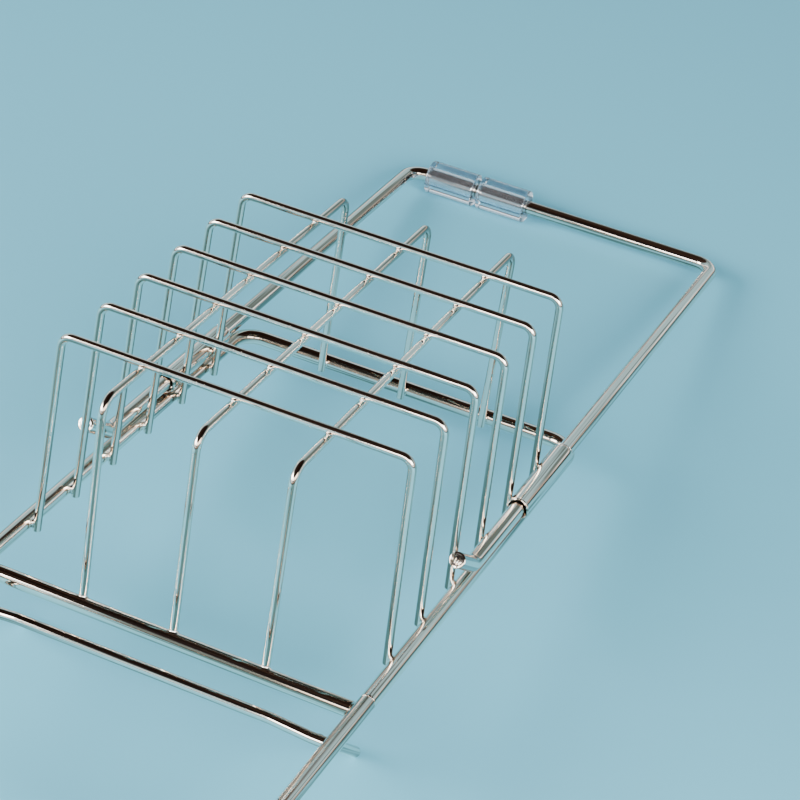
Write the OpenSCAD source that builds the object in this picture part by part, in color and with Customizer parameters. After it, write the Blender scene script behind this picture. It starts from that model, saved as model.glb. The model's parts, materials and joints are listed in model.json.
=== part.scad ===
// Extendable wire rack: six hoops and three long wires welded into a rod ring,
// a folded-down foot at the front, and a U-shaped slide frame with two soft
// rollers that pulls out of the back through two sleeves.
// Units are mm, +Z up, +Y towards the back, +X to the right.
// The origin is on the table, midway between the tips of the two foot legs.
// Modules are drawn in the ring's own level frame and then leaned back by
// place(), so that the foot tips and the rollers stand on z = 0 together.

/* [Hoops] */
// Hoop wire diameter
hoop_d = 3; // [2.5:0.1:3.4]
// Hoop width at the top, between wire centres
hoop_top_w = 130; // [118:1:150]
// How much wider each hoop leg stands at its foot than at its top
hoop_splay = 2.95; // [1:0.05:5]
// Hoop height, foot to top wire centre
hoop_h = 80.2; // [60:0.1:110]
// Distance from one hoop to the next
hoop_pitch = 27.2; // [24:0.1:30]
// Hoop corner bend radius
hoop_corner_r = 4.3; // [3.5:0.1:12]

/* [Long wires] */
// Long wire diameter
long_d = 3; // [2.5:0.1:3.4]
// Distance from the middle long wire to each outer one
long_spacing = 34.8; // [24:0.1:44]
// Long wire corner bend radius
long_corner_r = 6; // [4:0.5:12]
// How far behind the front tube's centre the front ends stand
long_set_back = 1.5; // [0:0.1:1.5]

/* [Ring] */
// Ring rod diameter
rail_d = 6; // [5:0.5:7]
// Height of the ring rod centre above the feet of the hoops
rail_z = 2.3; // [0.5:0.1:3]
// Distance from the last hoop to the ring's back bar
ring_back = 34.2; // [30:0.1:60]
// Distance from the first hoop to the joints in the two side rails
ring_joint = 26.9; // [24:0.1:34]
// Distance from the first hoop to the ring's front bar
ring_front = 151; // [145:1:200]
// Ring corner bend radius
ring_corner_r = 10; // [7:0.5:14]

/* [Front tube] */
// Front tube outside diameter
tube_d = 6; // [5.6:0.1:7]
// Front tube length
tube_len = 135; // [100:1:136]
// Diameter of the pin inside the front tube
pin_d = 4; // [3:0.1:4.5]
// Pin length
pin_len = 145; // [140:1:145]

/* [Foot] */
// Foot wire diameter
foot_d = 4; // [3:0.1:5]
// Distance from the first hoop to the foot's cross wire
foot_front = 47.9; // [38:0.1:60]
// Length of the foot's cross wire
foot_w = 145; // [140:1:145]
// Where the cross wire starts to dip down towards the rails, from the centre line
foot_dip_at = 47.5; // [40:0.5:50]
// How far the cross wire dips to pass under the rails
foot_dip = 1.2; // [0.4:0.1:2]
// Distance between the foot's two legs
foot_leg_gap = 130.4; // [130:0.1:134]
// How steeply the legs slope down under the rack, in degrees
foot_angle = 38; // [25:1:60]
// Foot leg length
foot_leg_len = 47.5; // [30:0.5:60]

/* [Sleeves] */
// Sleeve outside diameter
sleeve_d = 8.8; // [8.4:0.1:9.4]
// Sleeve bore, loose round the sliding rod
sleeve_bore = 7.2; // [6.8:0.1:7.6]
// Sleeve length
sleeve_len = 48; // [30:1:52]
// Distance from the first hoop to the sleeve mouths
sleeve_start = 103; // [100:1:106]

/* [Slide frame] */
// Slide frame rod diameter
slide_d = 6; // [5.4:0.1:6.2]
// Distance from the first hoop to the slide frame's cross bar, at rest
slide_bar = 342.4; // [300:0.1:380]
// Slide frame corner bend radius
slide_corner_r = 8; // [6:0.5:14]
// Distance from the first hoop to where the stop ends bend up
stop_start = 62; // [50:1:70]
// How steeply the stop ends rise, in degrees
stop_angle = 33; // [20:1:45]
// Stop end bend radius
stop_bend_r = 9; // [6:0.5:14]
// Straight length of each stop end
stop_len = 20; // [12:0.5:24]

/* [Rollers] */
// Roller outside diameter
roller_d = 14.8; // [11:0.1:18]
// Roller length
roller_len = 22.5; // [12:0.5:30]
// Running clearance round the rod, on the radius
roller_clear = 0.06; // [0.02:0.01:0.1]
// Gap between the two rollers
roller_gap = 2.5; // [0.4:0.1:3]
// Middle of the pair, measured from the rack's centre line
roller_mid = -40.2; // [-45:0.1:-20]

/* [Hidden] */
$fn = 40;
// Depth that welded rods sink into one another
weld = 0.03;
last_hoop_y = 5 * hoop_pitch;
// Slight swelling that joins a bend to its straight rod
seam = 0.03;
seam_len = 0.3;
hoop_lean = atan(hoop_splay / hoop_h);
corner_x = hoop_top_w / 2 - hoop_corner_r * tan((90 - hoop_lean) / 2);
corner_y = hoop_h - hoop_corner_r;
rail_x = hoop_top_w / 2 + hoop_splay + (hoop_d + rail_d) / 2 - weld;
back_bar_y = last_hoop_y + ring_back;
long_top_z = hoop_h - (hoop_d + long_d) / 2 + weld;
long_back_y = back_bar_y - (rail_d + long_d) / 2 + weld;
tube_z = rail_z - (rail_d + pin_d) / 2 + weld;
long_front_y = -ring_joint + long_set_back;
long_front_edge = max(0, long_set_back - long_d / 2);
long_front_z = tube_z + sqrt(pow(tube_d / 2, 2) - pow(long_front_edge, 2)) - weld;
foot_z = rail_z - (rail_d + foot_d) / 2 + weld;
slide_x = rail_x + 1;
slide_z = rail_z + sqrt(pow((rail_d + sleeve_d) / 2 - weld, 2) - 1);
// Length of the slanted part of the cross wire at each side
foot_dip_run = 15;
// Foot leg: butted against the cross wire, sloping back and down
leg_start = foot_d / 2 - weld;
leg_tip_y = -foot_front + (leg_start + foot_leg_len) * cos(foot_angle)
            - foot_d / 2 * sin(foot_angle);
leg_tip_z = foot_z - (leg_start + foot_leg_len) * sin(foot_angle)
            - foot_d / 2 * cos(foot_angle);
// Lean that puts the foot tips and the rollers on the table together
stand_y = slide_bar - leg_tip_y;
stand_z = slide_z - leg_tip_z;
lean = atan2(stand_z, stand_y) - asin(roller_d / 2 / sqrt(stand_y * stand_y + stand_z * stand_z));
steel = [0.78, 0.79, 0.8];
silicone = [0.78, 0.84, 0.95, 0.5];

module place() {
    rotate([-lean, 0, 0]) translate([0, -leg_tip_y, -leg_tip_z]) children();
}

module rod_x(x0, x1, d) {
    translate([x0, 0, 0]) rotate([0, 90, 0]) cylinder(h = x1 - x0, d = d);
}

module rod_y(y0, y1, d) {
    translate([0, y0, 0]) rotate([-90, 0, 0]) cylinder(h = y1 - y0, d = d);
}

// Bent rod lying in the XY plane, its arc starting on +X
module elbow(r, d, from, to) {
    rotate([0, 0, from]) rotate_extrude(angle = to - from) translate([r, 0]) circle(d = d);
}

// Hoop corner and leg in the XY plane, x outwards and y up
module hoop_side() {
    leg_len = (corner_y + hoop_corner_r * sin(hoop_lean)) / cos(hoop_lean);
    translate([corner_x, hoop_h, 0]) rod_x(-seam_len / 2, seam_len / 2, hoop_d + seam);
    translate([corner_x, corner_y, 0]) rotate([0, 0, hoop_lean]) {
        elbow(hoop_corner_r, hoop_d, 0, 90 - hoop_lean);
        translate([hoop_corner_r, 0, 0]) rod_y(-leg_len, 0, hoop_d);
    }
}

module hoop(index) {
    color(steel) place() translate([0, (index - 1) * hoop_pitch, 0]) rotate([90, 0, 0]) {
        translate([0, hoop_h, 0]) rod_x(-corner_x, corner_x, hoop_d);
        hoop_side();
        mirror([1, 0, 0]) hoop_side();
    }
}

module long_wire(x) {
    color(steel) place() translate([x, 0, 0]) rotate([90, 0, 90]) {
        translate([long_front_y, 0, 0]) rod_y(long_front_z, long_top_z - long_corner_r, long_d);
        translate([long_back_y, 0, 0]) rod_y(0, long_top_z - long_corner_r, long_d);
        translate([0, long_top_z, 0])
            rod_x(long_front_y + long_corner_r, long_back_y - long_corner_r, long_d);
        translate([long_front_y + long_corner_r, long_top_z - long_corner_r, 0])
            elbow(long_corner_r, long_d, 90, 180);
        translate([long_back_y - long_corner_r, long_top_z - long_corner_r, 0])
            elbow(long_corner_r, long_d, 0, 90);
    }
}

// U of rod: side rods at +-x from y0, closed by a bar at y1, in the XY plane
module u_rod(x, y0, y1, r, d) {
    for (side = [-1, 1]) translate([side * x, 0, 0]) rod_y(y0, y1 - r, d);
    translate([0, y1, 0]) rod_x(-x + r, x - r, d);
    translate([x - r, y1 - r, 0]) elbow(r, d, 0, 90);
    translate([-x + r, y1 - r, 0]) elbow(r, d, 90, 180);
}

module rear_frame() {
    color(steel) place() translate([0, 0, rail_z])
        u_rod(rail_x, -ring_joint, back_bar_y, ring_corner_r, rail_d);
}

module front_frame() {
    color(steel) place() translate([0, 0, rail_z]) mirror([0, 1, 0])
        u_rod(rail_x, ring_joint, ring_front, ring_corner_r, rail_d);
}

module front_tube() {
    color(steel) place() translate([0, -ring_joint, tube_z]) difference() {
        rod_x(-tube_len / 2, tube_len / 2, tube_d);
        rod_x(-tube_len / 2 - 1, tube_len / 2 + 1, pin_d + 0.1);
    }
}

module front_pin() {
    color(steel) place() translate([0, -ring_joint, tube_z])
        rod_x(-pin_len / 2, pin_len / 2, pin_d);
}

// One end of the foot's cross wire: slants down and runs on under the rail
module foot_end() {
    slant = atan(foot_dip / foot_dip_run);
    translate([foot_dip_at, 0, foot_dip]) {
        sphere(d = foot_d + seam);
        rotate([0, slant, 0]) rod_x(0, foot_dip_run / cos(slant), foot_d);
    }
    translate([foot_dip_at + foot_dip_run, 0, 0]) sphere(d = foot_d + seam);
    rod_x(foot_dip_at + foot_dip_run, foot_w / 2, foot_d);
}

module foot_bar() {
    color(steel) place() translate([0, -foot_front, foot_z]) {
        translate([0, 0, foot_dip]) rod_x(-foot_dip_at, foot_dip_at, foot_d);
        foot_end();
        mirror([1, 0, 0]) foot_end();
    }
}

module foot_leg(side) {
    color(steel) place() translate([side * foot_leg_gap / 2, -foot_front, foot_z])
        rotate([-foot_angle, 0, 0]) rod_y(leg_start, leg_start + foot_leg_len, foot_d);
}

module sleeve(side) {
    lip = 1;
    color(steel) place() translate([side * slide_x, 0, slide_z]) difference() {
        union() {
            rod_y(sleeve_start, sleeve_start + sleeve_len - lip, sleeve_d);
            translate([0, sleeve_start + sleeve_len - lip, 0]) rotate([-90, 0, 0])
                cylinder(h = lip, d1 = sleeve_d, d2 = sleeve_d - lip);
        }
        rod_y(sleeve_start - 1, sleeve_start + sleeve_len + 1, sleeve_bore);
    }
}

// Stop end in the YZ plane: leaves the arm forwards and rises
module stop_end() {
    rod_y(stop_start - seam_len / 2, stop_start + seam_len / 2, slide_d + seam);
    translate([0, stop_start, stop_bend_r]) rotate([90, 0, 90]) rotate([0, 0, 270 - stop_angle]) {
        elbow(stop_bend_r, slide_d, 0, stop_angle);
        translate([stop_bend_r, 0, 0]) rod_y(-stop_len, 0, slide_d);
    }
}

module slide_frame() {
    color(steel) place() translate([0, 0, slide_z]) {
        u_rod(slide_x, stop_start, slide_bar, slide_corner_r, slide_d);
        for (side = [-1, 1]) translate([side * slide_x, 0, 0]) stop_end();
    }
}

module roller(side) {
    edge = 1.2;
    x0 = roller_mid + (side < 0 ? -roller_gap / 2 - roller_len : roller_gap / 2);
    color(silicone) place() translate([x0, slide_bar, slide_z]) rotate([0, 90, 0]) difference() {
        union() {
            cylinder(h = edge, d1 = roller_d - edge, d2 = roller_d);
            translate([0, 0, edge]) cylinder(h = roller_len - 2 * edge, d = roller_d);
            translate([0, 0, roller_len - edge]) cylinder(h = edge, d1 = roller_d, d2 = roller_d - edge);
        }
        translate([0, 0, -1]) cylinder(h = roller_len + 2, d = slide_d + 2 * roller_clear);
    }
}

rear_frame();
front_frame();
hoop(1);  // hoop_1
hoop(2);  // hoop_2
hoop(3);  // hoop_3
hoop(4);  // hoop_4
hoop(5);  // hoop_5
hoop(6);  // hoop_6
long_wire(-long_spacing);  // long_wire_left
long_wire(0);  // long_wire_middle
long_wire(long_spacing);  // long_wire_right
front_tube();
front_pin();
foot_bar();
foot_leg(-1);  // foot_leg_left
foot_leg(1);  // foot_leg_right
sleeve(-1);  // sleeve_left
sleeve(1);  // sleeve_right
slide_frame();
roller(-1);  // roller_left
roller(1);  // roller_right
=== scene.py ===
import json
import math

import bpy
import numpy as np
from mathutils import Matrix, Vector, noise


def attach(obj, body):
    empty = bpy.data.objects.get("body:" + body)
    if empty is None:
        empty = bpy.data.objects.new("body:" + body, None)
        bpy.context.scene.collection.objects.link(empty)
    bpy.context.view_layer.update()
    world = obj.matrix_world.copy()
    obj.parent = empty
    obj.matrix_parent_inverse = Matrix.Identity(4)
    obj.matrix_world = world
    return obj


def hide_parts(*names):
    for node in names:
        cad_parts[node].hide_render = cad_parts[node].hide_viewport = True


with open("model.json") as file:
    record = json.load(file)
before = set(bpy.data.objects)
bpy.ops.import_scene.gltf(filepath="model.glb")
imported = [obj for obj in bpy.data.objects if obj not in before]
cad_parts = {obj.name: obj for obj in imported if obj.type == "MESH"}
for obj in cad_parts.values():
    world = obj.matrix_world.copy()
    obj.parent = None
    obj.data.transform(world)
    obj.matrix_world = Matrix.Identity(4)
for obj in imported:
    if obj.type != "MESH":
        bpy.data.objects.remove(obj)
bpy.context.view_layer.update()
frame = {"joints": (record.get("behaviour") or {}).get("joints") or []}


# ---- How the rack stands
# The ring leans back a little, on its foot in front and its rollers behind.
# Every size below is in millimetres in the ring's own level frame, with y = 0 at the
# first hoop and z = 0 at the hoops' feet; on_table() carries such points to the rack's frame.
MM = 0.001
CROSS_BAR_Y = 342.4
CROSS_BAR_Z = 9.602
slide_joint = next(j for j in frame["joints"] if j["name"] == "slide_out")
roller_joint = next(j for j in frame["joints"] if j["name"] == "roller_left_turn")
lean = math.atan2(-slide_joint["axis"][2], slide_joint["axis"][1])
lean_back = Matrix.Rotation(-lean, 4, "X")
bar_in_ring = lean_back.inverted() @ Vector((0, roller_joint["pos_m"][1], roller_joint["pos_m"][2]))
foot_tip = Vector((0, CROSS_BAR_Y, CROSS_BAR_Z)) * MM - bar_in_ring
to_table = lean_back @ Matrix.Translation(-foot_tip) @ Matrix.Scale(MM, 4)
to_table_np = np.array(to_table)


def on_table(points):
    """Ring millimetres to metres in the rack's own frame."""
    points = np.asarray(points, float)
    return points @ to_table_np[:3, :3].T + to_table_np[:3, 3]


# ---- Table, daylight and camera
# A plain pale blue table top under three wide soft boxes, left, right and in front. A thin
# dark line at eye level, a bright band above it and a dark ceiling give the rods their stripes.
TABLE_COLOUR = (0.185, 0.60, 0.80, 1)
TABLE_HALF = 6.0
table_mesh = bpy.data.meshes.new("table_top")
table_mesh.from_pydata(
    [(-TABLE_HALF, -TABLE_HALF, 0), (TABLE_HALF, -TABLE_HALF, 0),
     (TABLE_HALF, TABLE_HALF, 0), (-TABLE_HALF, TABLE_HALF, 0)], [], [(0, 1, 2, 3)])
table_top = bpy.data.objects.new("table_top", table_mesh)
bpy.context.scene.collection.objects.link(table_top)
paper = bpy.data.materials.new("pale_blue_paper")
paper.use_nodes = True
paper_shader = paper.node_tree.nodes["Principled BSDF"]
paper_shader.inputs["Base Color"].default_value = TABLE_COLOUR
paper_shader.inputs["Roughness"].default_value = 0.75
paper_shader.inputs["Specular IOR Level"].default_value = 0.2
table_mesh.materials.append(paper)

surround = bpy.data.worlds.new("studio")
surround.use_nodes = True
bpy.context.scene.world = surround
sky = surround.node_tree
direction = sky.nodes.new("ShaderNodeTexCoord")
split = sky.nodes.new("ShaderNodeSeparateXYZ")
sky.links.new(direction.outputs["Generated"], split.inputs["Vector"])
heights = sky.nodes.new("ShaderNodeMapRange")
heights.inputs["From Min"].default_value = -1
heights.inputs["From Max"].default_value = 1
sky.links.new(split.outputs["Z"], heights.inputs["Value"])
bands = sky.nodes.new("ShaderNodeValToRGB")
SKY_BANDS = (
    (0.0, (0.50, 0.62, 0.67)),
    (0.500, (0.45, 0.55, 0.60)),
    (0.505, (0.035, 0.018, 0.010)),
    (0.540, (0.04, 0.020, 0.012)),
    (0.550, (1.6, 1.5, 1.4)),
    (0.585, (1.2, 1.25, 1.3)),
    (0.64, (0.42, 0.66, 0.74)),
    (0.78, (0.34, 0.52, 0.58)),
    (0.80, (0.10, 0.06, 0.04)),
    (0.82, (0.034, 0.020, 0.014)),
    (1.0, (0.026, 0.015, 0.010)),
)
while len(bands.color_ramp.elements) < len(SKY_BANDS):
    bands.color_ramp.elements.new(0.5)
for stop, (place, colour) in zip(bands.color_ramp.elements, SKY_BANDS):
    stop.position = place
    stop.color = (*colour, 1)
sky.links.new(heights.outputs["Result"], bands.inputs["Fac"])
backdrop = sky.nodes["Background"]
backdrop.inputs["Strength"].default_value = 1.2
sky.links.new(bands.outputs["Color"], backdrop.inputs["Color"])

SOFT_BOXES = (
    ("soft_box_left", (-1.5, -1.2, 1.05), (1.5, 0.8), 60, (1.0, 0.99, 0.97)),
    ("soft_box_right", (1.5, -0.9, 1.0), (1.3, 0.8), 44, (1.0, 0.98, 0.95)),
    ("soft_box_front", (0.25, -2.0, 1.15), (1.8, 0.6), 40, (1.0, 0.98, 0.96)),
)
aim = Vector((0, 0.12, 0.04))
for name, place, size, power, colour in SOFT_BOXES:
    lamp = bpy.data.lights.new(name, "AREA")
    lamp.shape = "RECTANGLE"
    lamp.size, lamp.size_y = size
    lamp.energy = power
    lamp.color = colour
    lamp_object = bpy.data.objects.new(name, lamp)
    lamp_object.location = place
    lamp_object.rotation_mode = "QUATERNION"
    lamp_object.rotation_quaternion = (aim - Vector(place)).to_track_quat("-Z", "Y")
    bpy.context.scene.collection.objects.link(lamp_object)

CAMERA_AT = (296.0, -695.43, 522.34)
CAMERA_RIGHT = Vector((0.905699, 0.398706, 0.144025))
CAMERA_UP = Vector((-0.316760, 0.410709, 0.854974))
LENS_MM = 119.49
camera_data = bpy.data.cameras.new("camera")
camera_data.lens = LENS_MM
camera_data.sensor_width = 36
camera_data.clip_start = 0.01
camera = bpy.data.objects.new("camera", camera_data)
look_back = CAMERA_RIGHT.cross(CAMERA_UP)
turn = Matrix((CAMERA_RIGHT, CAMERA_UP, look_back)).transposed().to_4x4()
camera.rotation_mode = "QUATERNION"
camera.rotation_quaternion = (lean_back @ turn).to_quaternion()
camera.location = to_table @ Vector(CAMERA_AT)
bpy.context.scene.collection.objects.link(camera)
bpy.context.scene.camera = camera


# ---- Ring
# One 6 mm bright-plated steel rod bent to a U makes the side rails and the back bar; a second
# U carries on in front of it. Their ends meet in a ground-down butt weld in each rail.
RAIL_D = 6
RAIL_X = 72.42
RAIL_Z = 2.3
RING_BACK_Y = 170.2
RING_JOINT_Y = -26.9
RING_FRONT_Y = -151
RING_BEND = 10


def noise_texture(tree, source, scale, detail, stretch):
    """Noise on a rod's unrolled coordinate, stretched along the rod."""
    nodes, links = tree.nodes, tree.links
    spread = nodes.new("ShaderNodeMapping")
    spread.inputs["Scale"].default_value = (stretch, 1, 1)
    grain = nodes.new("ShaderNodeTexNoise")
    grain.inputs["Scale"].default_value = scale
    grain.inputs["Detail"].default_value = detail
    links.new(source, spread.inputs["Vector"])
    links.new(spread.outputs["Vector"], grain.inputs["Vector"])
    return grain.outputs["Fac"]


def make_plating_group():
    """Plated surface: faint drawing lines along the rod, soft ripple, pin-prick specks, and thin
    darker lines along the rod painted into the colour as painted reflection.
    """
    tree = bpy.data.node_groups.new("plated surface", "ShaderNodeTree")
    sockets = tree.interface
    sockets.new_socket("Rod coordinate", in_out="INPUT", socket_type="NodeSocketVector")
    sockets.new_socket("Metal", in_out="INPUT", socket_type="NodeSocketColor")
    sockets.new_socket("Painted reflection", in_out="INPUT", socket_type="NodeSocketColor")
    sockets.new_socket("Polish", in_out="INPUT", socket_type="NodeSocketFloat")
    sockets.new_socket("Lines", in_out="INPUT", socket_type="NodeSocketFloat")
    sockets.new_socket("Ripple", in_out="INPUT", socket_type="NodeSocketFloat")
    sockets.new_socket("Specks", in_out="INPUT", socket_type="NodeSocketFloat")
    sockets.new_socket("Colour", in_out="OUTPUT", socket_type="NodeSocketColor")
    sockets.new_socket("Roughness", in_out="OUTPUT", socket_type="NodeSocketFloat")
    sockets.new_socket("Height", in_out="OUTPUT", socket_type="NodeSocketFloat")
    nodes, links = tree.nodes, tree.links
    given = nodes.new("NodeGroupInput")
    result = nodes.new("NodeGroupOutput")
    coordinate = given.outputs["Rod coordinate"]
    lines = noise_texture(tree, coordinate, scale=2600, detail=2, stretch=0.02)
    ripple = noise_texture(tree, coordinate, scale=210, detail=2, stretch=0.45)
    cloud = noise_texture(tree, coordinate, scale=60, detail=3, stretch=0.5)
    # Painted reflection: noise stretched along the rod, used below to paint thin darker lines into
    # the colour.
    painted_reflection_streak = noise_texture(tree, coordinate, scale=850, detail=2, stretch=0.01)
    specks = noise_texture(tree, coordinate, scale=1500, detail=1, stretch=1)

    def maths(operation, first, second):
        """One math node fed by two sockets or plain numbers."""
        node = nodes.new("ShaderNodeMath")
        node.operation = operation
        for socket, value in zip(node.inputs, (first, second)):
            if isinstance(value, (int, float)):
                socket.default_value = value
            else:
                links.new(value, socket)
        return node.outputs[0]

    rare = nodes.new("ShaderNodeMapRange")
    rare.inputs["From Min"].default_value = 0.735
    rare.inputs["From Max"].default_value = 0.775
    links.new(specks, rare.inputs["Value"])
    speck_mask = maths("MULTIPLY", rare.outputs["Result"], given.outputs["Specks"])
    line_height = maths("MULTIPLY", lines, given.outputs["Lines"])
    ripple_height = maths("MULTIPLY", ripple, given.outputs["Ripple"])
    height = maths("ADD", line_height, ripple_height)
    height = maths("SUBTRACT", height, speck_mask)
    links.new(height, result.inputs["Height"])
    rough = maths("MULTIPLY_ADD", cloud, 0.07)
    rough.node.inputs[2].default_value = -0.02
    rough = maths("ADD", rough, given.outputs["Polish"])
    rough = maths("ADD", rough, maths("MULTIPLY", speck_mask, 0.3))
    links.new(rough, result.inputs["Roughness"])
    # Painted reflection: the mask blends the metal colour towards the darker painted reflection
    # colour in thin lines along the rod.
    painted_reflection_mask = nodes.new("ShaderNodeMapRange")
    painted_reflection_mask.inputs["From Min"].default_value = 0.45
    painted_reflection_mask.inputs["From Max"].default_value = 0.57
    links.new(painted_reflection_streak, painted_reflection_mask.inputs["Value"])
    painted_reflection_mix = nodes.new("ShaderNodeMix")
    painted_reflection_mix.data_type = "RGBA"
    links.new(painted_reflection_mask.outputs["Result"], painted_reflection_mix.inputs["Factor"])
    links.new(given.outputs["Metal"], painted_reflection_mix.inputs["A"])
    links.new(given.outputs["Painted reflection"], painted_reflection_mix.inputs["B"])
    links.new(painted_reflection_mix.outputs["Result"], result.inputs["Colour"])
    return tree


plating_group = make_plating_group()


def plated(name, metal, painted_reflection_colour, polish, lines, ripple, specks, bump_mm, coat=0.3):
    """Mirror-plated steel material built on the shared plated surface group."""
    material = bpy.data.materials.new(name)
    material.use_nodes = True
    nodes, links = material.node_tree.nodes, material.node_tree.links
    shader = nodes["Principled BSDF"]
    shader.inputs["Metallic"].default_value = 1
    shader.inputs["Coat Weight"].default_value = coat
    shader.inputs["Coat Roughness"].default_value = 0.3
    unrolled = nodes.new("ShaderNodeAttribute")
    unrolled.attribute_name = "rod_coord"
    surface = nodes.new("ShaderNodeGroup")
    surface.node_tree = plating_group
    surface.inputs["Metal"].default_value = (*metal, 1)
    # The second colour is the painted reflection colour of the thin darker lines along the rod.
    surface.inputs["Painted reflection"].default_value = (*painted_reflection_colour, 1)
    surface.inputs["Polish"].default_value = polish
    surface.inputs["Lines"].default_value = lines
    surface.inputs["Ripple"].default_value = ripple
    surface.inputs["Specks"].default_value = specks
    links.new(unrolled.outputs["Vector"], surface.inputs["Rod coordinate"])
    relief = nodes.new("ShaderNodeBump")
    relief.inputs["Strength"].default_value = 1
    relief.inputs["Distance"].default_value = bump_mm * MM
    links.new(surface.outputs["Height"], relief.inputs["Height"])
    links.new(surface.outputs["Colour"], shader.inputs["Base Color"])
    links.new(surface.outputs["Roughness"], shader.inputs["Roughness"])
    links.new(relief.outputs["Normal"], shader.inputs["Normal"])
    return material


# The second colour, a warm brown, is painted reflection: thin darker lines along the rod.
bright_steel = plated("bright_plated_steel", (0.98, 0.87, 0.77), (0.30, 0.23, 0.17),
                      polish=0.045, lines=0.35, ripple=1.0, specks=0.5, bump_mm=0.006)


def make_bent_rod_tree():
    """A polyline becomes a round rod: corners bent to each point's own radius, ends closed."""
    tree = bpy.data.node_groups.new("bent rod", "GeometryNodeTree")
    sockets = tree.interface
    sockets.new_socket("Path", in_out="INPUT", socket_type="NodeSocketGeometry")
    sockets.new_socket("Diameter", in_out="INPUT", socket_type="NodeSocketFloat")
    sockets.new_socket("Sides", in_out="INPUT", socket_type="NodeSocketInt")
    sockets.new_socket("Steps in a bend", in_out="INPUT", socket_type="NodeSocketInt")
    sockets.new_socket("Finish", in_out="INPUT", socket_type="NodeSocketMaterial")
    sockets.new_socket("Rod", in_out="OUTPUT", socket_type="NodeSocketGeometry")
    nodes, links = tree.nodes, tree.links
    given = nodes.new("NodeGroupInput")
    result = nodes.new("NodeGroupOutput")

    def named(name, kind):
        """Reads an attribute back by its name."""
        node = nodes.new("GeometryNodeInputNamedAttribute")
        node.data_type = kind
        node.inputs["Name"].default_value = name
        return node.outputs["Attribute"]

    def store(geometry, name, kind, value):
        """Keeps a value on the geometry's points under a name."""
        node = nodes.new("GeometryNodeStoreNamedAttribute")
        node.data_type = kind
        node.domain = "POINT"
        node.inputs["Name"].default_value = name
        links.new(geometry, node.inputs["Geometry"])
        links.new(value, node.inputs["Value"])
        return node.outputs["Geometry"]

    path = nodes.new("GeometryNodeMeshToCurve")
    links.new(given.outputs["Path"], path.inputs["Mesh"])
    bent = nodes.new("GeometryNodeFilletCurve")
    bent.mode = "POLY"
    links.new(path.outputs["Curve"], bent.inputs["Curve"])
    links.new(given.outputs["Steps in a bend"], bent.inputs["Count"])
    links.new(named("bend", "FLOAT"), bent.inputs["Radius"])
    run = nodes.new("GeometryNodeSplineParameter")
    centre_line = store(bent.outputs["Curve"], "along", "FLOAT", run.outputs["Length"])
    halved = nodes.new("ShaderNodeMath")
    halved.operation = "MULTIPLY"
    halved.inputs[1].default_value = 0.5
    links.new(given.outputs["Diameter"], halved.inputs[0])
    circle = nodes.new("GeometryNodeCurvePrimitiveCircle")
    links.new(given.outputs["Sides"], circle.inputs["Resolution"])
    links.new(halved.outputs[0], circle.inputs["Radius"])
    where = nodes.new("GeometryNodeInputPosition")
    section = store(circle.outputs["Curve"], "round", "FLOAT_VECTOR", where.outputs["Position"])
    sweep = nodes.new("GeometryNodeCurveToMesh")
    sweep.inputs["Fill Caps"].default_value = True
    links.new(centre_line, sweep.inputs["Curve"])
    links.new(section, sweep.inputs["Profile Curve"])
    parts = nodes.new("ShaderNodeSeparateXYZ")
    links.new(named("round", "FLOAT_VECTOR"), parts.inputs["Vector"])
    unrolled = nodes.new("ShaderNodeCombineXYZ")
    links.new(named("along", "FLOAT"), unrolled.inputs["X"])
    links.new(parts.outputs["X"], unrolled.inputs["Y"])
    links.new(parts.outputs["Y"], unrolled.inputs["Z"])
    rod = store(sweep.outputs["Mesh"], "rod_coord", "FLOAT_VECTOR", unrolled.outputs["Vector"])
    smooth = nodes.new("GeometryNodeSetShadeSmooth")
    links.new(rod, smooth.inputs["Geometry"])
    real = nodes.new("GeometryNodeRealizeInstances")
    links.new(smooth.outputs["Geometry"], real.inputs["Geometry"])
    coat = nodes.new("GeometryNodeSetMaterial")
    links.new(real.outputs["Geometry"], coat.inputs["Geometry"])
    links.new(given.outputs["Finish"], coat.inputs["Material"])
    links.new(coat.outputs["Geometry"], result.inputs["Rod"])
    return tree


bent_rod_tree = make_bent_rod_tree()


def set_inputs(modifier, values):
    """Fills a node modifier's inputs by their names."""
    for item in modifier.node_group.interface.items_tree:
        if item.item_type == "SOCKET" and item.in_out == "INPUT" and item.name in values:
            modifier[item.identifier] = values[item.name]


def settle(shape, sharp_degrees):
    """Turns an object's modifiers into its plain mesh and takes them off."""
    evaluated = shape.evaluated_get(bpy.context.evaluated_depsgraph_get())
    mesh = bpy.data.meshes.new_from_object(evaluated)
    shape.modifiers.clear()
    shape.data = mesh
    mesh.set_sharp_from_angle(angle=math.radians(sharp_degrees))
    return shape


def hold_straights(path, bends):
    """Adds path points just clear of every bend and end, so straights shade as straights."""
    path = [np.array(point, float) for point in path]
    clear = 0.8
    held, radii = [], []
    for i, (corner, radius) in enumerate(zip(path, bends)):
        to_last = path[i - 1] - corner if i else None
        to_next = path[i + 1] - corner if i + 1 < len(path) else None
        ways = [way / np.linalg.norm(way) if way is not None else None
                for way in (to_last, to_next)]
        reach = clear
        if ways[0] is not None and ways[1] is not None:
            half_turn = (math.pi - math.acos(max(-1, min(1, float(ways[0] @ ways[1]))))) / 2
            reach += radius * math.tan(half_turn)
        if ways[0] is not None:
            held.append(corner + ways[0] * reach)
            radii.append(0)
        held.append(corner)
        radii.append(radius)
        if ways[1] is not None:
            held.append(corner + ways[1] * reach)
            radii.append(0)
    return held, radii


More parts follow.
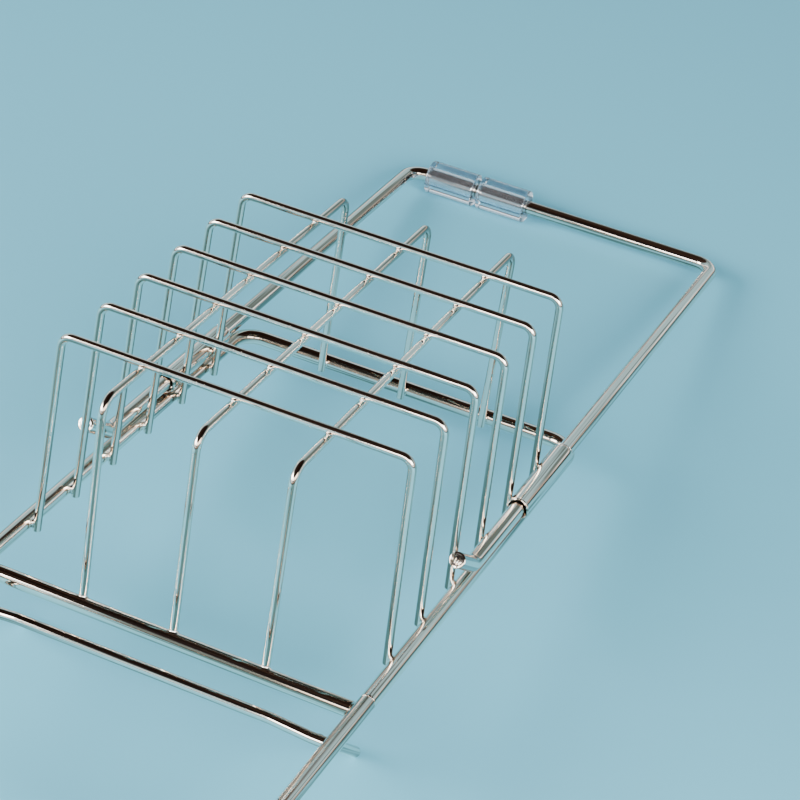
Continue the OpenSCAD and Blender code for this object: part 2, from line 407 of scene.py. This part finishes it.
def bent_rod(name, path, bends, diameter, body, node, edge=0.25, finish=bright_steel):
    """Rod along path (ring millimetres), bent to the radius given at each point."""
    path, bends = hold_straights(path, bends)
    mesh = bpy.data.meshes.new(name)
    steps = [(i, i + 1) for i in range(len(path) - 1)]
    mesh.from_pydata([tuple(p) for p in on_table(path)], steps, [])
    bend = mesh.attributes.new("bend", "FLOAT", "POINT")
    bend.data.foreach_set("value", [b * MM for b in bends])
    shape = bpy.data.objects.new(name, mesh)
    bpy.context.scene.collection.objects.link(shape)
    sweep = shape.modifiers.new("sweep", "NODES")
    sweep.node_group = bent_rod_tree
    set_inputs(sweep, {"Diameter": diameter * MM, "Sides": 48, "Steps in a bend": 20,
                       "Finish": finish})
    cut_edge = shape.modifiers.new("cut edge", "BEVEL")
    cut_edge.width = edge * MM
    cut_edge.segments = 3
    cut_edge.limit_method = "ANGLE"
    cut_edge.angle_limit = math.radians(60)
    settle(shape, 50)
    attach(shape, body)
    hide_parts(node)
    return shape


for name, end_y, node in (("rear_ring_rod", RING_BACK_Y, "rear_frame"),
                          ("front_ring_rod", RING_FRONT_Y, "front_frame")):
    bent_rod(name,
             [(-RAIL_X, RING_JOINT_Y, RAIL_Z), (-RAIL_X, end_y, RAIL_Z),
              (RAIL_X, end_y, RAIL_Z), (RAIL_X, RING_JOINT_Y, RAIL_Z)],
             [0, RING_BEND, RING_BEND, 0], RAIL_D, "rack", node, edge=0.35)


# ---- Welds
# Each crossing is resistance-welded: the two rods melt into one another and leave a small
# smooth fillet in the corner between them, plated over with the rest.
# The second colour is painted reflection: thin darker lines along the weld.
fused_steel = plated("fused_plated_steel", (0.90, 0.84, 0.78), (0.42, 0.35, 0.29),
                     polish=0.05, lines=0.05, ripple=1.6, specks=0.3, bump_mm=0.012)


def rod_distance(points, rod):
    """Distance from points to a flat-ended rod given as (start, end, radius)."""
    start, end, radius = np.array(rod[0], float), np.array(rod[1], float), rod[2]
    length = np.linalg.norm(end - start)
    heading = (end - start) / length
    offset = points - start
    along = offset @ heading
    radial = np.linalg.norm(offset - along[..., None] * heading, axis=-1) - radius
    return np.maximum(radial, np.maximum(-along, along - length))


def fused_distance(points, rods, fillet, centre, reach):
    """Rods melted together with a fillet, kept to a ball round the weld."""
    sunk = 0.025
    joined = rod_distance(points, rods[0])
    for rod in rods[1:]:
        other = rod_distance(points, rod)
        mix = np.clip(0.5 + 0.5 * (other - joined) / fillet, 0, 1)
        joined = other + (joined - other) * mix - fillet * mix * (1 - mix)
    ball = np.linalg.norm(points - np.array(centre), axis=-1) - reach
    return np.maximum(joined + sunk, ball)


def surface_net(distance, low, high, cell):
    """Closed quad mesh of the surface where distance(points) is zero."""
    counts = np.ceil((np.array(high) - low) / cell).astype(int) + 1
    grid = np.stack(np.meshgrid(*(np.arange(n) for n in counts), indexing="ij"), -1)
    field = distance(np.array(low) + grid * cell)
    total = np.zeros((*counts, 3))
    hits = np.zeros(counts)
    quads = []
    for a in range(3):
        b, c = (a + 1) % 3, (a + 2) % 3
        near, far = [slice(None)] * 3, [slice(None)] * 3
        near[a], far[a] = slice(0, -1), slice(1, None)
        first, second = field[tuple(near)], field[tuple(far)]
        crossed = np.argwhere((first < 0) != (second < 0))
        inner, outer = first[tuple(crossed.T)], second[tuple(crossed.T)]
        point = crossed.astype(float)
        point[:, a] += inner / (inner - outer)
        ring = []
        for db, dc in ((0, 0), (-1, 0), (-1, -1), (0, -1)):
            cells = crossed.copy()
            cells[:, b] += db
            cells[:, c] += dc
            np.add.at(total, tuple(cells.T), point)
            np.add.at(hits, tuple(cells.T), 1)
            ring.append(np.ravel_multi_index(tuple(cells.T), counts))
        ring = np.array(ring).T
        ring[inner >= 0] = ring[inner >= 0][:, ::-1]
        quads.append(ring)
    used, quads = np.unique(np.concatenate(quads), return_inverse=True)
    index = np.unravel_index(used, counts)
    places = np.array(low) + total[index] / hits[index][:, None] * cell
    step = 0.01
    for _ in range(3):
        value = distance(places)
        slope = np.stack([distance(places + step * axis) - distance(places - step * axis)
                          for axis in np.eye(3)], -1) / (2 * step)
        places -= slope * (value / np.maximum((slope ** 2).sum(-1), 0.2))[:, None]
    return places, quads.reshape(-1, 4)


def make_weld_rows_tree():
    """One weld repeated along a row, and the row repeated sideways."""
    tree = bpy.data.node_groups.new("weld rows", "GeometryNodeTree")
    sockets = tree.interface
    sockets.new_socket("Weld", in_out="INPUT", socket_type="NodeSocketGeometry")
    for axis in ("Row", "Column"):
        sockets.new_socket(axis + " count", in_out="INPUT", socket_type="NodeSocketInt")
        sockets.new_socket(axis + " step", in_out="INPUT", socket_type="NodeSocketVector")
    sockets.new_socket("Finish", in_out="INPUT", socket_type="NodeSocketMaterial")
    sockets.new_socket("Welds", in_out="OUTPUT", socket_type="NodeSocketGeometry")
    nodes, links = tree.nodes, tree.links
    given = nodes.new("NodeGroupInput")
    result = nodes.new("NodeGroupOutput")
    shape = given.outputs["Weld"]
    for axis in ("Row", "Column"):
        line = nodes.new("GeometryNodeMeshLine")
        links.new(given.outputs[axis + " count"], line.inputs["Count"])
        links.new(given.outputs[axis + " step"], line.inputs["Offset"])
        copies = nodes.new("GeometryNodeInstanceOnPoints")
        links.new(line.outputs["Mesh"], copies.inputs["Points"])
        links.new(shape, copies.inputs["Instance"])
        real = nodes.new("GeometryNodeRealizeInstances")
        links.new(copies.outputs["Instances"], real.inputs["Geometry"])
        shape = real.outputs["Geometry"]
    smooth = nodes.new("GeometryNodeSetShadeSmooth")
    links.new(shape, smooth.inputs["Geometry"])
    coat = nodes.new("GeometryNodeSetMaterial")
    links.new(smooth.outputs["Geometry"], coat.inputs["Geometry"])
    links.new(given.outputs["Finish"], coat.inputs["Material"])
    links.new(coat.outputs["Geometry"], result.inputs["Welds"])
    return tree


weld_rows_tree = make_weld_rows_tree()


def mark_rod_coord(mesh):
    """Gives a mesh that no rod was unrolled for its own place as its rod coordinate."""
    spots = np.zeros(len(mesh.vertices) * 3)
    mesh.vertices.foreach_get("co", spots)
    mesh.attributes.new("rod_coord", "FLOAT_VECTOR", "POINT")
    mesh.attributes["rod_coord"].data.foreach_set("vector", spots)


def welds(name, rods, centre, reach, fillet, row=(1, (0, 0, 0)), column=(1, (0, 0, 0)),
          mirrored=False, cell=0.17, body="rack"):
    """A filleted weld between rods, repeated in rows, and on the other side if mirrored."""
    margin = reach + 2 * cell
    low, high = np.array(centre) - margin, np.array(centre) + margin
    places, quads = surface_net(
        lambda points: fused_distance(points, rods, fillet, centre, reach), low, high, cell)
    if mirrored:
        other = places * (-1, 1, 1)
        quads = np.concatenate([quads, quads[:, ::-1] + len(places)])
        places = np.concatenate([places, other])
    mesh = bpy.data.meshes.new(name)
    mesh.from_pydata([tuple(p) for p in places], [], [tuple(map(int, q)) for q in quads])
    shape = bpy.data.objects.new(name, mesh)
    bpy.context.scene.collection.objects.link(shape)
    spread = shape.modifiers.new("spread", "NODES")
    spread.node_group = weld_rows_tree
    set_inputs(spread, {"Row count": row[0], "Row step": row[1], "Column count": column[0],
                        "Column step": column[1], "Finish": fused_steel})
    settle(shape, 60)
    shape.data.transform(to_table)
    mark_rod_coord(shape.data)
    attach(shape, body)
    return shape


# ---- Front tube and its pin
# A short steel tube closes the ring behind the foot. A thinner pin runs through it and
# its ends are welded under the two rails.
TUBE_Z = -2.67
TUBE_HALF = 67.5
TUBE_D = 6
PIN_D = 4
PIN_HALF = 72.5
PIN_PLAY = 0.05
RAIL_WELD_X = RAIL_X - 0.5
RAIL_WELD_Z = -0.7


def hold_edges(outline):
    """Adds points just inside the ends of long sides, so tubes shade as true cylinders."""
    long_side, clear = 3, 0.5
    outline = [np.array(point, float) for point in outline]
    held = []
    for here, after in zip(outline, outline[1:] + outline[:1]):
        held.append(here)
        length = np.linalg.norm(after - here)
        if length > long_side:
            inset = (after - here) * (clear / length)
            held.extend([here + inset, after - inset])
    return held


def turned(name, outline, middle, heading, body, nodes, finish, sides=72):
    """Closed outline of (distance along, radius) turned round heading, one of x or y."""
    outline = np.array(hold_edges(outline))
    angles = np.arange(sides) * 2 * math.pi / sides
    ring = np.stack([np.cos(angles), np.sin(angles)], -1)
    along = np.repeat(outline[:, 0], sides)
    across = (outline[:, 1][:, None, None] * ring[None]).reshape(-1, 2)
    local = np.column_stack([across, along])
    places = np.empty_like(local)
    if heading == "x":
        places[:, 0], places[:, 1], places[:, 2] = local[:, 2], local[:, 0], local[:, 1]
    else:
        places[:, 1], places[:, 2], places[:, 0] = local[:, 2], local[:, 0], local[:, 1]
    faces = []
    count = len(outline)
    for i in range(count):
        j = (i + 1) % count
        for k in range(sides):
            m = (k + 1) % sides
            faces.append((i * sides + k, i * sides + m, j * sides + m, j * sides + k))
    mesh = bpy.data.meshes.new(name)
    mesh.from_pydata([tuple(p) for p in on_table(places + np.array(middle, float))], [], faces)
    mesh.attributes.new("rod_coord", "FLOAT_VECTOR", "POINT")
    unrolled = np.column_stack([along, across]) * MM
    mesh.attributes["rod_coord"].data.foreach_set("vector", unrolled.ravel())
    mesh.polygons.foreach_set("use_smooth", [True] * len(mesh.polygons))
    mesh.update()
    if mesh_volume(mesh) < 0:
        mesh.flip_normals()
    mesh.set_sharp_from_angle(angle=math.radians(50))
    mesh.materials.append(finish)
    shape = bpy.data.objects.new(name, mesh)
    bpy.context.scene.collection.objects.link(shape)
    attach(shape, body)
    if nodes:
        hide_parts(*nodes)
    return shape


def mesh_volume(mesh):
    """Signed volume, below zero where the faces point inwards."""
    total = 0
    for face in mesh.polygons:
        corners = [mesh.vertices[v].co for v in face.vertices]
        for i in range(1, len(corners) - 1):
            total += corners[0].dot(corners[i].cross(corners[i + 1]))
    return total


def rounded_wall(start, end, outer, inner, lip, steps=5):
    """Outline of a tube wall whose four edges are rounded by lip."""
    outline = []
    corners = ((start, inner, 1, 1, 180), (end, inner, -1, 1, 270),
               (end, outer, -1, -1, 0), (start, outer, 1, -1, 90))
    for along, radius, da, dr, from_degrees in corners:
        for i in range(steps):
            angle = math.radians(from_degrees + 90 * i / (steps - 1))
            outline.append((along + da * lip + lip * math.cos(angle),
                            radius + dr * lip + lip * math.sin(angle)))
    return outline


turned("front_cross_tube",
       rounded_wall(-TUBE_HALF, TUBE_HALF, TUBE_D / 2, PIN_D / 2 + PIN_PLAY, 0.2),
       (0, RING_JOINT_Y, TUBE_Z), "x", "rack", ["front_tube"], bright_steel)
bent_rod("front_cross_pin", [(-PIN_HALF, RING_JOINT_Y, TUBE_Z), (PIN_HALF, RING_JOINT_Y, TUBE_Z)],
         [0, 0], PIN_D, "rack", "front_pin")
right_rail = ((RAIL_X, -60, RAIL_Z), (RAIL_X, 160, RAIL_Z), RAIL_D / 2)
welds("pin_welds",
      [right_rail, ((0, RING_JOINT_Y, TUBE_Z), (PIN_HALF, RING_JOINT_Y, TUBE_Z), PIN_D / 2)],
      (RAIL_WELD_X, RING_JOINT_Y, RAIL_WELD_Z), 3.4, 1.0, mirrored=True)


# ---- Foot
# A 4 mm wire crosses ahead of the tube and dips a little at both sides to pass under the
# rails. Two straight legs are butt-welded to it and slope down and back to the table.
FOOT_D = 4
FOOT_Y = -47.9
FOOT_Z = -2.67
FOOT_HALF = 72.5
DIP_AT = 47.5
DIP_RUN = 15
DIP = 1.2
DIP_BEND = 6
LEG_X = 65.2
LEG_SLOPE = math.radians(38)
LEG_START = 1.97
LEG_LEN = 47.5
bent_rod("foot_cross_wire",
         [(-FOOT_HALF, FOOT_Y, FOOT_Z), (-DIP_AT - DIP_RUN, FOOT_Y, FOOT_Z),
          (-DIP_AT, FOOT_Y, FOOT_Z + DIP), (DIP_AT, FOOT_Y, FOOT_Z + DIP),
          (DIP_AT + DIP_RUN, FOOT_Y, FOOT_Z), (FOOT_HALF, FOOT_Y, FOOT_Z)],
         [0, DIP_BEND, DIP_BEND, DIP_BEND, DIP_BEND, 0], FOOT_D, "rack", "foot_bar")
leg_way = np.array((0, math.cos(LEG_SLOPE), -math.sin(LEG_SLOPE)))
leg_root = np.array((0, FOOT_Y, FOOT_Z)) + LEG_START * leg_way
leg_tip = leg_root + LEG_LEN * leg_way
for side, sign in (("left", -1), ("right", 1)):
    across = np.array((sign * LEG_X, 0, 0))
    bent_rod("foot_wire_" + side, [leg_root + across, leg_tip + across], [0, 0],
             FOOT_D, "rack", "foot_leg_" + side)
foot_wire = ((50, FOOT_Y, FOOT_Z), (FOOT_HALF, FOOT_Y, FOOT_Z), FOOT_D / 2)
welds("foot_rail_welds", [right_rail, foot_wire],
      (RAIL_WELD_X, FOOT_Y, RAIL_WELD_Z), 3.4, 1.0, mirrored=True)
outwards = np.array((LEG_X, 0, 0))
right_leg = (leg_root + outwards - leg_way, leg_tip + outwards, FOOT_D / 2)
welds("foot_leg_welds", [foot_wire, right_leg], leg_root + outwards, 3.6, 1.1, mirrored=True)


# ---- Hoops
# Six 3 mm wires, each bent to an upside-down U whose legs spread a little towards the feet.
# The feet are welded to the inner sides of the rails.
HOOP_D = 3
HOOP_COUNT = 6
HOOP_PITCH = 27.2
HOOP_TOP_Z = 80.2
HOOP_TOP_X = 65
HOOP_FOOT_X = 67.95
HOOP_BEND = 4.3
for i in range(HOOP_COUNT):
    y = i * HOOP_PITCH
    bent_rod(f"hoop_wire_{i + 1}",
             [(-HOOP_FOOT_X, y, 0), (-HOOP_TOP_X, y, HOOP_TOP_Z),
              (HOOP_TOP_X, y, HOOP_TOP_Z), (HOOP_FOOT_X, y, 0)],
             [0, HOOP_BEND, HOOP_BEND, 0], HOOP_D, "rack", f"hoop_{i + 1}")
hoop_leg = ((HOOP_TOP_X, 0, HOOP_TOP_Z), (HOOP_FOOT_X, 0, 0), HOOP_D / 2)
welds("hoop_foot_welds", [right_rail, hoop_leg], (69.3, 0, 2.0), 3.4, 1.1,
      row=(HOOP_COUNT, (0, HOOP_PITCH, 0)), mirrored=True)


# ---- Long wires
# Three 3 mm wires run front to back, welded under the tops of the hoops. Their front ends
# stand on the cross tube and their back ends are welded inside the back bar.
LONG_D = 3
LONG_X = 34.8
LONG_TOP_Z = 77.23
LONG_BACK_Y = 165.73
LONG_FRONT_Y = -25.4
LONG_FRONT_Z = 0.3
LONG_BEND = 6
for i, side in enumerate(("left", "middle", "right")):
    x = (i - 1) * LONG_X
    bent_rod("long_wire_rod_" + side,
             [(x, LONG_FRONT_Y, LONG_FRONT_Z), (x, LONG_FRONT_Y, LONG_TOP_Z),
              (x, LONG_BACK_Y, LONG_TOP_Z), (x, LONG_BACK_Y, 0)],
             [0, LONG_BEND, LONG_BEND, 0], LONG_D, "rack", "long_wire_" + side)
across_row = (3, (LONG_X, 0, 0))
welds("crossing_welds",
      [((-LONG_X - 9, 0, HOOP_TOP_Z), (-LONG_X + 9, 0, HOOP_TOP_Z), HOOP_D / 2),
       ((-LONG_X, -9, LONG_TOP_Z), (-LONG_X, 9, LONG_TOP_Z), LONG_D / 2)],
      (-LONG_X, 0, 78.7), 2.4, 0.8, row=across_row, column=(HOOP_COUNT, (0, HOOP_PITCH, 0)))
welds("front_end_welds",
      [((-LONG_X - 12, RING_JOINT_Y, TUBE_Z), (-LONG_X + 12, RING_JOINT_Y, TUBE_Z), TUBE_D / 2),
       ((-LONG_X, LONG_FRONT_Y, -0.6), (-LONG_X, LONG_FRONT_Y, 20), LONG_D / 2)],
      (-LONG_X, LONG_FRONT_Y, 0.1), 3.0, 1.3, row=across_row)
welds("back_end_welds",
      [((-LONG_X - 12, RING_BACK_Y, RAIL_Z), (-LONG_X + 12, RING_BACK_Y, RAIL_Z), RAIL_D / 2),
       ((-LONG_X, LONG_BACK_Y, 0), (-LONG_X, LONG_BACK_Y, 20), LONG_D / 2)],
      (-LONG_X, 167.0, 2.0), 3.2, 1.0, row=across_row)


# ---- Sleeves
# Two short tubes lie welded along the tops of the rails and guide the slide frame. Their
# mouths are rolled smooth and their back ends are pressed in round the rod.
SLEEVE_X = 73.42
SLEEVE_Z = CROSS_BAR_Z
SLEEVE_START = 103
SLEEVE_END = 151
SLEEVE_OUTER = 4.2
SLEEVE_BORE = 3.6
PRESSED_LEN = 3.5
PRESSED_WALL = 0.45
sleeve_wall = rounded_wall(SLEEVE_START, SLEEVE_END, SLEEVE_OUTER, SLEEVE_BORE, 0.3)
pressed_from = SLEEVE_END - PRESSED_LEN
pressed_in = []
for along, radius in sleeve_wall:
    if radius > SLEEVE_BORE + PRESSED_WALL and along > pressed_from:
        continue
    pressed_in.append((along, radius))
shoulder = [(SLEEVE_END - 0.1 - 3.4 * (1 - math.cos(a)), SLEEVE_BORE + 0.3 + 0.5 * math.sin(a))
            for a in np.linspace(0, math.pi / 2, 8)]
split_at = next(i for i, (along, radius) in enumerate(pressed_in)
                if radius > SLEEVE_BORE + PRESSED_WALL)
sleeve_outline = pressed_in[:split_at] + shoulder + pressed_in[split_at:]
rolled = [(SLEEVE_START + 0.7 + 0.7 * math.cos(a), SLEEVE_OUTER - 0.1 + 0.3 * math.sin(a))
          for a in np.linspace(0, math.pi, 9)]
for side, sign in (("left", -1), ("right", 1)):
    turned("sleeve_tube_" + side, sleeve_outline, (sign * SLEEVE_X, 0, SLEEVE_Z), "y", "rack",
           ["sleeve_" + side], bright_steel)
    lip = rolled + [(SLEEVE_START + 0.1, SLEEVE_OUTER - 0.3),
                    (SLEEVE_START + 1.3, SLEEVE_OUTER - 0.3)]
    turned("sleeve_lip_" + side, lip, (sign * SLEEVE_X, 0, SLEEVE_Z), "y", "rack",
           [], bright_steel)
sleeve_rod = ((SLEEVE_X, SLEEVE_START + 1, SLEEVE_Z),
              (SLEEVE_X, SLEEVE_END - 3, SLEEVE_Z), SLEEVE_OUTER)
for part, y in (("front", SLEEVE_START + 6), ("back", SLEEVE_END - 8)):
    welds("sleeve_welds_" + part, [right_rail, sleeve_rod],
          (72.9, y, 5.3), 3.2, 1.3, mirrored=True)


# ---- Slide frame
# A 6 mm rod bent to a long U runs through the sleeves. Its free ends are bent upward, so that
# they can't pass the sleeve mouths when the frame is pulled right out.
SLIDE_D = 6
SLIDE_BEND = 8
STOP_START = 62
STOP_SLOPE = math.radians(33)
STOP_BEND = 9
STOP_LEN = 20
stop_knee = STOP_BEND * math.tan(STOP_SLOPE / 2)
stop_corner = np.array((0, STOP_START - stop_knee, SLEEVE_Z))
stop_way = np.array((0, -math.cos(STOP_SLOPE), math.sin(STOP_SLOPE)))
stop_tip = stop_corner + (stop_knee + STOP_LEN) * stop_way
left, right = np.array((-SLEEVE_X, 0, 0)), np.array((SLEEVE_X, 0, 0))
bent_rod("slide_rod",
         [stop_tip + left, stop_corner + left, (-SLEEVE_X, CROSS_BAR_Y, SLEEVE_Z),
          (SLEEVE_X, CROSS_BAR_Y, SLEEVE_Z), stop_corner + right, stop_tip + right],
         [0, STOP_BEND, SLIDE_BEND, SLIDE_BEND, STOP_BEND, 0],
         SLIDE_D, "slide", "slide_frame", edge=0.3)

# The stops' ends are as the shear left them: a torn, pitted face inside a bright rim. The two faces
# are the same torn steel; the right face's near-black colour is painted shade, the left face keeps
# the bright colour.
# Painted shade: a near-black copy of the torn steel, used for the right face.
torn_face_painted_shade = plated("torn_steel_painted_shade", (0.07, 0.062, 0.055), (0.015, 0.013, 0.012),
                   polish=0.42, lines=0.2, ripple=2.0, specks=1.5, bump_mm=0.08, coat=0)
torn_bright = plated("torn_steel_bright", (0.80, 0.78, 0.75), (0.22, 0.20, 0.19),
                     polish=0.20, lines=0.2, ripple=2.0, specks=1.5, bump_mm=0.08, coat=0)
FACE_RINGS = 22
FACE_SIDES = 64
FACE_R = 2.3
FACE_DISH = 0.12
FACE_SUNK = 0.45
face_up = np.cross(stop_way, (1, 0, 0))
for side, across, seed, torn_steel in (("left", left, 3.1, torn_bright),
                                       ("right", right, 8.7, torn_face_painted_shade)):
    places = [stop_tip + across + stop_way * 0.02]
    for ring in range(1, FACE_RINGS + 1):
        share = ring / FACE_RINGS
        for k in range(FACE_SIDES):
            turn_by = 2 * math.pi * k / FACE_SIDES
            x, y = FACE_R * share * math.cos(turn_by), FACE_R * share * math.sin(turn_by)
            torn = noise.noise(Vector((x * 1.3, y * 1.3, seed))) * 0.16
            torn += noise.noise(Vector((x * 3.7, y * 3.7, seed))) * 0.09
            dished = -FACE_DISH * (1 - share ** 3)
            rise = (torn + dished) * min(1, (1 - share) * 6) + 0.02 * (share < 1)
            places.append(stop_tip + across + stop_way * (0.05 + rise)
                          + np.array((1, 0, 0)) * x + face_up * y)
    back_start = len(places)
    for k in range(FACE_SIDES):
        turn_by = 2 * math.pi * k / FACE_SIDES
        places.append(stop_tip + across - stop_way * FACE_SUNK
                      + np.array((1, 0, 0)) * FACE_R * math.cos(turn_by)
                      + face_up * FACE_R * math.sin(turn_by))
    places.append(stop_tip + across - stop_way * FACE_SUNK)
    faces = []
    for k in range(FACE_SIDES):
        m = (k + 1) % FACE_SIDES
        faces.append((0, 1 + k, 1 + m))
        for ring in range(FACE_RINGS - 1):
            a, b = 1 + ring * FACE_SIDES, 1 + (ring + 1) * FACE_SIDES
            faces.append((a + k, b + k, b + m, a + m))
        rim = 1 + (FACE_RINGS - 1) * FACE_SIDES
        faces.append((rim + k, back_start + k, back_start + m, rim + m))
        faces.append((back_start + k, len(places) - 1, back_start + m))
    mesh = bpy.data.meshes.new("sheared_end_" + side)
    mesh.from_pydata([tuple(p) for p in on_table(places)], [], faces)
    if mesh_volume(mesh) < 0:
        mesh.flip_normals()
    mark_rod_coord(mesh)
    mesh.polygons.foreach_set("use_smooth", [True] * len(mesh.polygons))
    mesh.set_sharp_from_angle(angle=math.radians(60))
    mesh.materials.append(torn_steel)
    sheared_end = bpy.data.objects.new("sheared_end_" + side, mesh)
    bpy.context.scene.collection.objects.link(sheared_end)
    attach(sheared_end, "slide")


# ---- Rollers
# Two lengths of thick clear silicone tube turn on the slide frame's cross bar. The silicone
# is faintly lilac-blue, cut square and slightly softened at the edges.
ROLLER_R = 7.4
ROLLER_BORE = 3.06
ROLLER_LEN = 22.5
ROLLER_GAP = 2.5
ROLLER_MIDDLE = -40.2
clear_silicone = bpy.data.materials.new("clear_silicone")
clear_silicone.use_nodes = True
silicone_nodes, silicone_links = clear_silicone.node_tree.nodes, clear_silicone.node_tree.links
silicone = silicone_nodes["Principled BSDF"]
silicone.inputs["Transmission Weight"].default_value = 0.97
silicone.inputs["IOR"].default_value = 1.41
place = silicone_nodes.new("ShaderNodeTexCoord")
cloud = silicone_nodes.new("ShaderNodeTexNoise")
cloud.inputs["Scale"].default_value = 140
cloud.inputs["Detail"].default_value = 3
silicone_links.new(place.outputs["Object"], cloud.inputs["Vector"])
milk = silicone_nodes.new("ShaderNodeMix")
milk.data_type = "RGBA"
milk.inputs["A"].default_value = (0.85, 0.90, 1.0, 1)
milk.inputs["B"].default_value = (0.93, 0.95, 1.0, 1)
silicone_links.new(cloud.outputs["Fac"], milk.inputs["Factor"])
silicone_links.new(milk.outputs["Result"], silicone.inputs["Base Color"])
skin = silicone_nodes.new("ShaderNodeMapRange")
skin.inputs["To Min"].default_value = 0.05
skin.inputs["To Max"].default_value = 0.13
silicone_links.new(cloud.outputs["Fac"], skin.inputs["Value"])
silicone_links.new(skin.outputs["Result"], silicone.inputs["Roughness"])
wobble = silicone_nodes.new("ShaderNodeTexNoise")
wobble.inputs["Scale"].default_value = 420
silicone_links.new(place.outputs["Object"], wobble.inputs["Vector"])
soft_relief = silicone_nodes.new("ShaderNodeBump")
soft_relief.inputs["Strength"].default_value = 0.5
soft_relief.inputs["Distance"].default_value = 0.00006
silicone_links.new(wobble.outputs["Fac"], soft_relief.inputs["Height"])
silicone_links.new(soft_relief.outputs["Normal"], silicone.inputs["Normal"])
for side, start in (("left", ROLLER_MIDDLE - ROLLER_GAP / 2 - ROLLER_LEN),
                    ("right", ROLLER_MIDDLE + ROLLER_GAP / 2)):
    turned("silicone_roller_" + side,
           rounded_wall(start, start + ROLLER_LEN, ROLLER_R, ROLLER_BORE, 0.5, steps=6),
           (0, CROSS_BAR_Y, CROSS_BAR_Z), "x", "roller_" + side, ["roller_" + side],
           clear_silicone)
